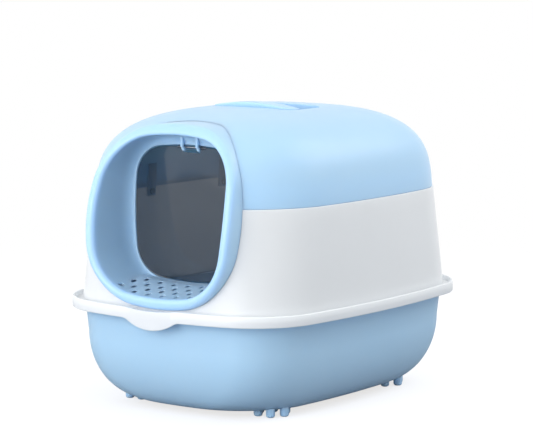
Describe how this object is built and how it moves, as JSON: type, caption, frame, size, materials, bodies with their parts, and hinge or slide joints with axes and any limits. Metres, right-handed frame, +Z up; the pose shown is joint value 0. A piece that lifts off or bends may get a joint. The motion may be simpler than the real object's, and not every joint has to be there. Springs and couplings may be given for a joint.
{
  "type": "covered litter box",
  "caption": "Covered litter box: deep round-cornered pan on pegs, lift-off cover with a domed hood, a framed front entrance with a smoked swing flap, and a folding carry handle.",
  "frame": {"origin": "on the floor, under the middle of the rim", "axes": "+Z up, +Y to the rear, away from the entrance, +X to the right of someone who looks at the entrance"},
  "size_m": [0.3998, 0.5199, 0.402],
  "materials": {
    "blue_plastic": "satin pale blue moulded plastic",
    "white_plastic": "satin white moulded plastic",
    "smoked_plastic": "polished smoked clear sheet",
    "grey_plastic": "plain grey plugs",
    "steel": "drawn bright wire"
  },
  "bodies": {
    "pan": {"base_pan": "blue_plastic"},
    "cover": {"cover_skirt": "white_plastic", "hood": "blue_plastic", "entrance_collar": "blue_plastic", "hood_plugs": "grey_plastic", "handle_pin_left": "steel", "handle_pin_right": "steel"},
    "flap": {"flap_door": "smoked_plastic", "flap_hinge_rod": "steel"},
    "handle": {"carry_handle": "blue_plastic"}
  },
  "joints": [
    {"name": "cover_lift", "type": "slide", "parent": "pan", "child": "cover", "axis": [0, 0, 1], "range_m": [0, 0.25]},
    {"name": "flap_swing", "type": "hinge", "parent": "cover", "child": "flap", "pos_m": [0, -0.16675, 0.35], "axis": [1, 0, 0], "range_deg": [-65, 80]},
    {"name": "handle_fold", "type": "hinge", "parent": "cover", "child": "handle", "pos_m": [0, 0.016, 0.385], "axis": [-1, 0, 0], "range_deg": [0, 90]}
  ]
}
